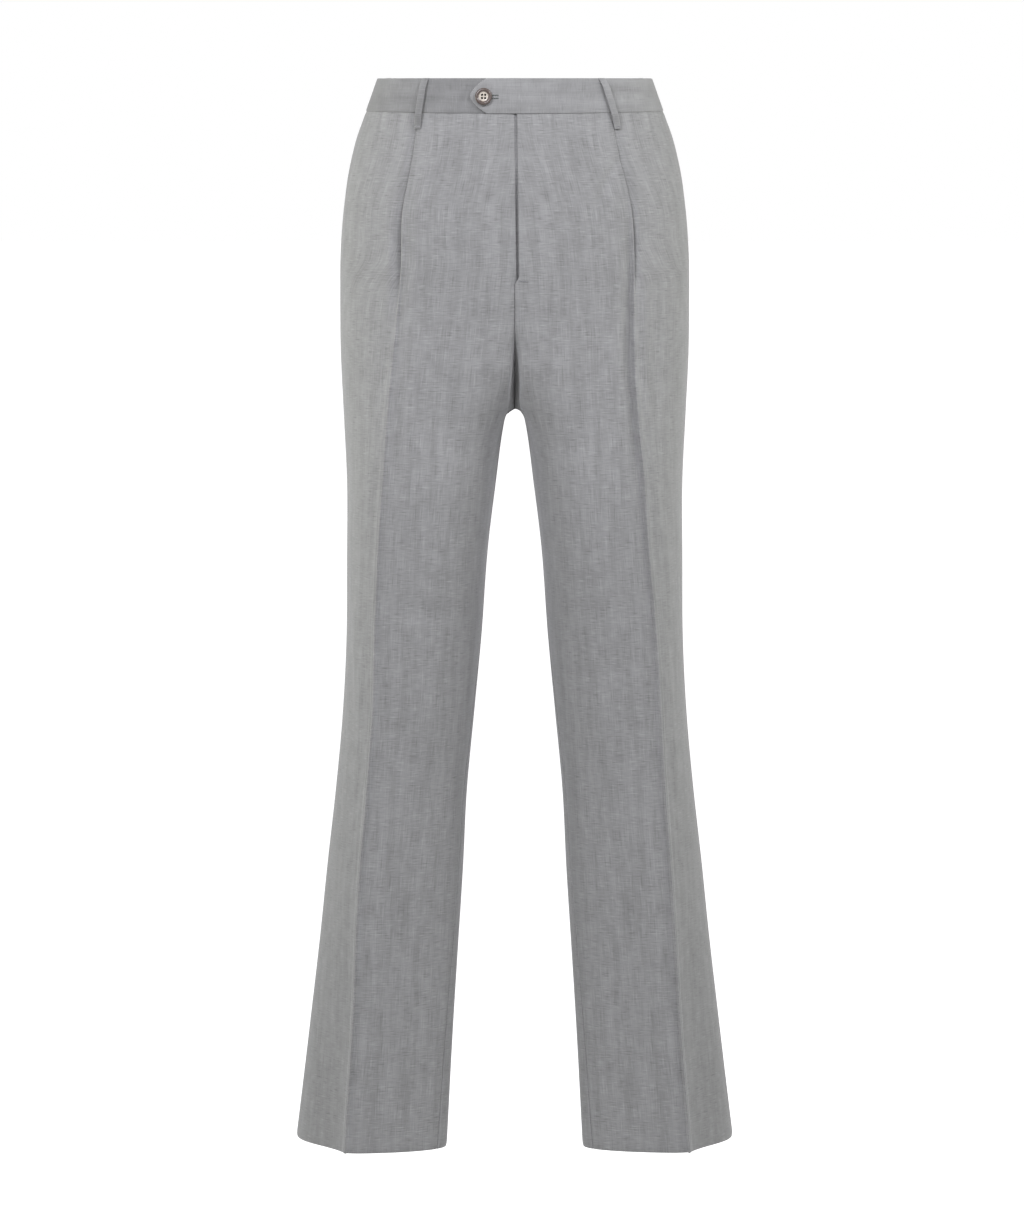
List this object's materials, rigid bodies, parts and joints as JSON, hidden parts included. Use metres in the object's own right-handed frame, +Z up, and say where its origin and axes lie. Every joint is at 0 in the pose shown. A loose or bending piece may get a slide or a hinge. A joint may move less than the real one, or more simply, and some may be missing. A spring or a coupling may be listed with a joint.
{
  "type": "pleated dress trousers",
  "caption": "Pleated dress trousers held open as worn: waistband with a pointed button tab, fly, belt loops, pleats running into pressed creases, and open hems.",
  "frame": {"origin": "middle of the waist, at half the waistband's height, on the garment's centre plane", "axes": "+Z up along the wearer, -Y to the wearer's front, +X to the wearer's left"},
  "size_m": [0.458, 0.2475, 1.1116],
  "materials": {
    "grey_wool": "light grey fine worsted wool with faint slubs, pressed",
    "grey_wool_band": "the same wool, doubled and stiffened in the waistband and belt loops",
    "horn_button": "polished brown horn rim round a pale well"
  },
  "bodies": {
    "root": {"front_left": "grey_wool", "front_right": "grey_wool", "back_left": "grey_wool", "back_right": "grey_wool", "fly_shield": "grey_wool", "waistband_left": "grey_wool_band", "waistband_right": "grey_wool_band", "belt_loop_front_left": "grey_wool_band", "belt_loop_front_right": "grey_wool_band", "belt_loop_side_left": "grey_wool_band", "belt_loop_side_right": "grey_wool_band", "belt_loop_back": "grey_wool_band", "button": "horn_button"}
  },
  "joints": []
}
